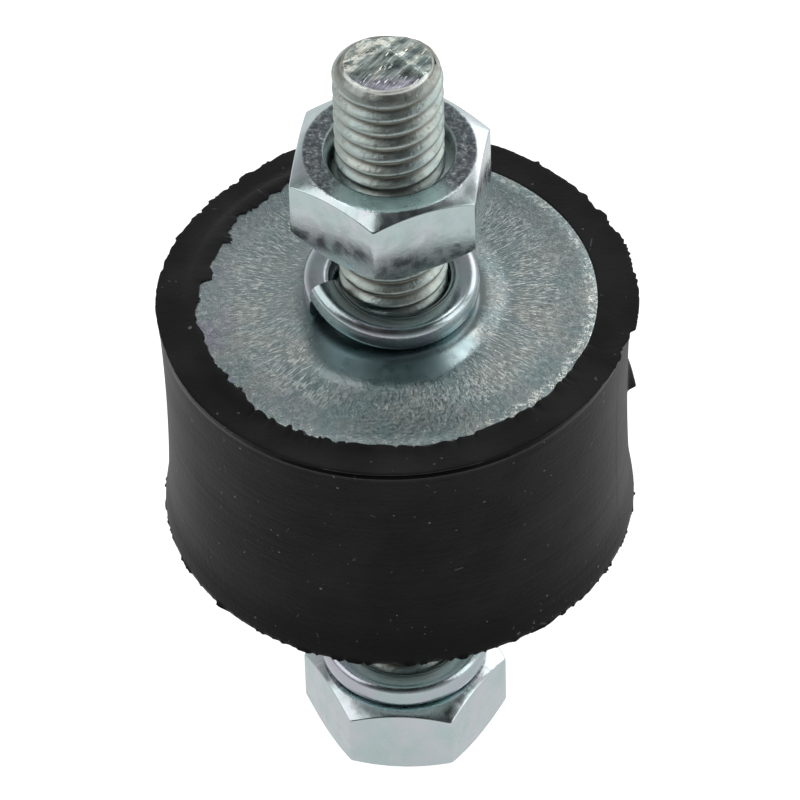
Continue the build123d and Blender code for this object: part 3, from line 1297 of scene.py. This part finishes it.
@dataclass
class ThreadedStuds:
    """The two headed studs, threaded from just above the plate to a sheared tip."""

    levels: Levels
    thread: ThreadRule = ThreadRule()
    columns: int = 120
    rows_a_turn: int = 14
    head_round: float = 0.12 * MM
    shoulder: float = 0.9 * MM
    fade: float = 1.2 * MM
    bare_tip: float = 1.0 * MM
    taper_drop: float = 0.7 * MM
    taper_run: float = 0.75 * MM
    taper_power: float = 1.7
    tip_round: float = 0.18 * MM
    shear_run: float = 0.95 * MM
    cap_rings: int = 22
    sharp_angle: float = 40.0
    # the line past which the sheared end drops a step: its direction in degrees, its distance and the drop
    step_direction: float = 42.0
    step_distance: float = 0.75 * MM
    step_drop: float = 0.16 * MM
    step_softness: float = 0.05 * MM
    crescent_slope: float = 0.12
    # the slope down to the back left, which mirrors the pale room: its direction, its steepness and its bend
    slope_direction: float = 128.0
    slope_distance: float = 0.35 * MM
    slope: float = 0.25
    slope_bend: float = 0.25 * MM
    # the broad tears over the end: their depth, their turn from the step, their pace and how they bend
    tear_depth: float = 0.02 * MM
    tear_turn: float = 1.45
    tear_pace: float = 7.1
    tear_bend: Range = (1.6, 2.3)
    tear_start: float = 0.9
    # the sheared end's own zinc: how near the tip and the axis it lies
    sheared_height: float = 0.8 * MM
    sheared_radius: float = 2.34 * MM

    @cached_property
    def length(self) -> float:
        """How far a stud stands out of its plate."""
        return abs(self.levels.tips[End.UPPER] - self.levels.faces[End.UPPER])

    def tip_relief(self, x: Array, y: Array) -> Array:
        """How far the sheared end lies under the tip's highest point at each place."""
        direction, lean = math.radians(self.step_direction), math.radians(self.slope_direction)
        past = x * math.cos(direction) + y * math.sin(direction) - self.step_distance
        step = self.step_drop / (1 + np.exp(-past / self.step_softness))
        step = step + self.crescent_slope * np.maximum(past, 0)
        away = x * math.cos(lean) + y * math.sin(lean) - self.slope_distance
        slope = self.slope * np.log1p(np.exp(away / self.slope_bend)) * self.slope_bend
        across, (bend, pace) = direction + self.tear_turn, self.tear_bend
        along = (x * math.cos(across) + y * math.sin(across)) / MM
        bent = self.tear_pace * along + bend * np.sin(pace * x / MM) + self.tear_start
        tears = self.tear_depth * (1 + np.sin(bent))
        return 0.01 * MM + step + slope + tears

    def sheared(self, radii: Array, heights: Array) -> Array:
        """Lowers heights near the tip to the sheared end, which leans down to its back."""
        angles = directions(self.columns)
        share = np.clip((heights - self.length + self.shear_run) / (self.shear_run - self.tip_round), 0, 1)
        return heights - share * self.tip_relief(radii * np.cos(angles), radii * np.sin(angles))

    def tip_envelope(self, heights: Array) -> Array:
        """The shank's outer radius, drawn in by the soft taper under the tip."""
        share = np.clip(1 - (self.length - heights) / self.taper_run, 0, 1)
        return self.thread.major - self.taper_drop * share**self.taper_power

    def shank(self) -> tuple[Array, Faces]:
        """Builds the threaded length in rows that climb with the thread.

        Returns:
            The points, with heights out from the plate's face, and the faces.
        """
        step = self.thread.pitch / self.rows_a_turn
        low, high = self.shoulder, self.length - self.tip_round
        rows = int(round((high - low) / step)) + 2 * self.rows_a_turn
        turned = self.thread.pitch * np.arange(self.columns) / self.columns
        heights = np.clip(low - self.thread.pitch + step * np.arange(rows)[:, None] + turned, low, high)
        radii = self.tip_envelope(heights)
        points = ring_points(radii, self.sheared(radii, heights), directions(self.columns))
        order = np.arange(radii.size).reshape(radii.shape)
        kept = order[: rows - self.rows_a_turn]
        return points, ring_faces(kept, np.hstack((kept[:, 1:], order[self.rows_a_turn :, :1])))

    def ends(self) -> tuple[Array, Faces]:
        """Builds the head, the shoulder and the sheared tip.

        Returns:
            The points and the faces, which meet the shank's first and last rows.
        """
        outline = [
            (0.15 * MM, INNER.head_foot),
            (INNER.hub_flat - self.head_round, INNER.head_foot),
            (INNER.hub_flat, INNER.head_foot + self.head_round),
            (INNER.hub_flat, INNER.head_top),
            (self.thread.major, INNER.head_top),
            (self.thread.major, self.shoulder),
        ]
        radii, heights = (np.array(side)[:, None] * np.ones(self.columns) for side in zip(*outline))
        last = self.length - self.tip_round
        quarter = np.linspace(0, math.pi / 2, 6)[:, None] * np.ones(self.columns)
        rim_radii = float(self.tip_envelope(np.array(last))) - self.tip_round * (1 - np.cos(quarter))
        inner = np.linspace(1, 0.04, self.cap_rings)[1:, None] * rim_radii[-1]
        cap_radii = np.vstack((rim_radii, inner))
        cap_heights = np.vstack((last + self.tip_round * np.sin(quarter), np.full(inner.shape, self.length)))
        caps = ring_points(cap_radii, self.sheared(cap_radii, cap_heights), directions(self.columns))
        foot = np.arange(radii.size).reshape(radii.shape)
        cap = np.arange(cap_radii.size).reshape(cap_radii.shape) + radii.size
        faces = ring_faces(foot, np.roll(foot, -1, axis=1)) + ring_faces(cap, np.roll(cap, -1, axis=1))
        faces += [foot[0][::-1].tolist(), cap[-1].tolist()]
        return np.vstack((ring_points(radii, heights, directions(self.columns)), caps)), faces

    def build(self) -> None:
        """Builds both studs and puts them in place of their nodes."""
        shank_points, shank_faces = self.shank()
        end_points, end_faces = self.ends()
        points = np.vstack((shank_points, end_points))
        faces = shank_faces + [[number + len(shank_points) for number in face] for face in end_faces]
        tree = self.thread.tree(Cut.EXTERNAL)
        material, tip_material = THREAD_ZINC.build(), TIP_ZINC.build()
        for end in End:
            name, level, tip = f"{end.word}_threaded_stud", self.levels.faces[end], self.levels.tips[end]
            start = make_mesh(f"{end.word}_shank", points * (1, end.value, end.value) + (0, 0, level), faces)
            foot = level + end.value * self.shoulder
            sizes = self.thread.sizes(foot, self.fade, tip, self.bare_tip, material)
            mesh = grown_mesh(name, start, tree, sizes)
            smooth(mesh, self.sharp_angle)
            mesh.materials.append(tip_material)
            for face in mesh.polygons:
                near_tip = abs(face.center.z - tip) < self.sheared_height
                face.material_index = int(near_tip and math.hypot(*face.center.xy) < self.sheared_radius)
            place_piece(mesh, name, f"{end.word}_stud", "mount")


@dataclass
class SplitWashers:
    """The two split washers, each one coil of rounded square wire, wound left-handed and sprung open."""

    levels: Levels
    section: float = 1.6 * MM
    corner: float = 0.58 * MM
    corner_steps: int = 5
    stations: int = 240
    middle_radius: float = 4.0 * MM
    split: float = 1.0
    # the coil climbs gently by its early rise, and past this share of its turn springs up to its high end
    resting_share: float = 0.76
    lift_power: float = 1.6
    sharp_angle: float = 40.0
    starts: dict[End, float] = field(default_factory=lambda: {End.UPPER: 203.0, End.LOWER: 70.0})
    early_rises: dict[End, float] = field(default_factory=lambda: {End.UPPER: 0.0, End.LOWER: 0.4 * MM})
    shifts: dict[End, float] = field(default_factory=lambda: {End.UPPER: -0.14 * MM, End.LOWER: 0.0})
    bodies: dict[End, str] = field(default_factory=lambda: {End.UPPER: "mount", End.LOWER: "lower_nut"})

    def sizes(self, end: End, material: bpy.types.Material) -> dict[str, Any]:
        """Gives the tree's inputs for one washer.

        Args:
            end: the end of the mount.
            material: the washer's material.

        Returns:
            The inputs by name.
        """
        low, high = self.levels.washers[end]
        return {
            "Section": self.section,
            "Corner": self.corner,
            "Middle Radius": self.middle_radius,
            "Rise": high - low - self.section,
            "Early Rise": self.early_rises[end],
            "Turn": math.radians(360.0 - self.split),
            "Start Angle": math.radians(self.starts[end]),
            "Seat Height": low,
            "Side Shift": self.shifts[end],
            "Resting Share": self.resting_share,
            "Lift Power": self.lift_power,
            "Material": material,
        }

    def tree(self, names: tuple[str, ...]) -> Tree:
        """Builds the tree that sweeps the washer's section along its coil.

        Args:
            names: the names of its sizes.

        Returns:
            The geometry node tree.
        """
        graph, given = start_geometry("split_washer", names, takes_geometry=False)
        section, reach = given["Section"], given["Middle Radius"]
        line = graph.give("GeometryNodeCurvePrimitiveLine")
        stations = graph.give("GeometryNodeResampleCurve", {"Curve": line, "Count": self.stations})
        share = graph.give("GeometryNodeSplineParameter")
        turned = given["Start Angle"] - share * given["Turn"]
        sprung = graph.math("POWER", share.span(given["Resting Share"], 1.0, even=True), given["Lift Power"])
        early = graph.math("SQRT", share) * given["Early Rise"]
        lift = early + sprung * (given["Rise"] - given["Early Rise"])
        spot = graph.join(
            graph.math("COSINE", turned) * reach + given["Side Shift"],
            graph.math("SINE", turned) * reach,
            given["Seat Height"] + section * 0.5 + lift,
        )
        coil = graph.give("GeometryNodeSetPosition", {"Geometry": stations, "Position": spot})
        upright = graph.give("GeometryNodeSetCurveNormal", {"Curve": coil}, mode="Z_UP")
        square = graph.give("GeometryNodeCurvePrimitiveQuadrilateral", {"Width": section, "Height": section})
        corners = {"Curve": square, "Radius": given["Corner"], "Count": self.corner_steps}
        profile = graph.give("GeometryNodeFilletCurve", corners, mode="POLY")
        wire = {"Curve": upright, "Profile Curve": profile, "Fill Caps": True}
        finish_geometry(graph, graph.give("GeometryNodeCurveToMesh", wire), given["Material"])
        return graph.tree

    def build(self) -> None:
        """Builds both washers and puts them in place of their nodes."""
        material = WASHER_ZINC.build()
        *names, _ = self.sizes(End.UPPER, material)
        tree = self.tree(tuple(names))
        for end in End:
            name = f"{end.word}_split_washer"
            mesh = grown_mesh(name, bpy.data.meshes.new("coil"), tree, self.sizes(end, material))
            face_outwards(mesh)
            smooth(mesh, self.sharp_angle)
            place_piece(mesh, name, f"{end.word}_spring_washer", self.bodies[end])


@dataclass
class HexNuts:
    """The two hexagon nuts, chamfered on both faces, with a threaded, countersunk bore."""

    levels: Levels
    thread: ThreadRule = ThreadRule(major=3.0 * MM, minor=2.47 * MM, dents=0.0)
    columns: int = 360
    flats: float = 10.0 * MM
    face_radius: float = 4.65 * MM
    mouth_radius: float = 3.55 * MM
    chamfer: float = 30.0
    chamfer_waves: Range = (0.03 * MM, 0.012 * MM)
    corner_round: float = 0.16 * MM
    edge_softness: float = 0.1 * MM
    bore_rows: int = 44
    sharp_angle: float = 34.0
    # heights far outside the mount, so that the bore's thread fades at neither end
    beyond: float = 1.0
    corners: dict[End, float] = field(default_factory=lambda: {End.UPPER: -100.0, End.LOWER: -64.0})
    seeds: dict[End, int] = field(default_factory=lambda: {End.UPPER: 61, End.LOWER: 71})

    def hexagon(self, corner: float) -> Array:
        """The nut's outline: a hexagon with rounded corners, in each direction.

        Args:
            corner: the azimuth of one corner, in degrees.

        Returns:
            The radius in each direction.
        """
        sixth = FULL_TURN / 6
        away = np.abs((directions(self.columns) - math.radians(corner) + sixth / 2) % sixth - sixth / 2)
        half = self.flats / 2
        flat = half / np.cos(sixth / 2 - away)
        centre = (half - self.corner_round) / math.cos(sixth / 2)
        inside = np.maximum(self.corner_round**2 - (centre * np.sin(away)) ** 2, 0)
        arc = centre * np.cos(away) + np.sqrt(inside)
        return np.where((inside > 0) & (arc < flat), arc, flat)

    def blank(self, end: End) -> Mesh:
        """Turns a nut with a plain bore.

        Args:
            end: the end of the mount.

        Returns:
            The mesh.
        """
        low, high = self.levels.nuts[end]
        angles, wall, seed = directions(self.columns), self.hexagon(self.corners[end]), self.seeds[end]
        broad, fine = self.chamfer_waves
        uneven = broad * ragged(angles, seed, 16) + fine * ragged(angles, seed + 1, 90)
        slope = math.tan(math.radians(self.chamfer))
        drop = np.maximum((wall - self.face_radius) * slope + np.maximum(uneven, 0), 0.02 * MM)
        sink, soft = self.mouth_radius - self.thread.minor, self.edge_softness
        outline = [
            Corner(self.thread.minor, high - sink),
            Corner(self.mouth_radius, high, soft),
            Corner(self.face_radius, high, 2 * soft),
            Corner(wall, high - drop, soft),
            Corner(wall, low + drop, soft),
            Corner(self.face_radius, low, soft),
            Corner(self.mouth_radius, low, soft),
            Corner(self.thread.minor, low + sink),
        ]
        bore = np.linspace(low + sink, high - sink, self.bore_rows + 2)[1:-1]
        outline += [Corner(self.thread.minor, height) for height in bore]
        radii, heights = softened(outline, self.columns, Closing.BORE)
        return turned_mesh(f"{end.word}_nut_blank", radii, heights, Closing.BORE)

    def build(self) -> None:
        """Builds both nuts and puts them in place of their nodes."""
        tree = self.thread.tree(Cut.INTERNAL)
        soft = self.edge_softness
        sizes = self.thread.sizes(-self.beyond, soft, self.beyond, soft, NUT_ZINC.build())
        for end in End:
            name = f"{end.word}_hex_nut"
            mesh = grown_mesh(name, self.blank(end), tree, sizes)
            smooth(mesh, self.sharp_angle)
            place_piece(mesh, name, f"{end.word}_nut", f"{end.word}_nut")


def main() -> None:
    """Builds the studio and each sub-assembly, and keeps the frame's parts in the scene, hidden."""
    logging.basicConfig(level=logging.INFO, format="%(name)s: %(message)s")
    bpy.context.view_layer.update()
    levels = Levels.read()
    Studio().build()
    RubberBlock(levels).build()
    SteelPlates(levels).build()
    ThreadedStuds(levels).build()
    SplitWashers(levels).build()
    HexNuts(levels).build()


if __name__ == "__main__":
    main()
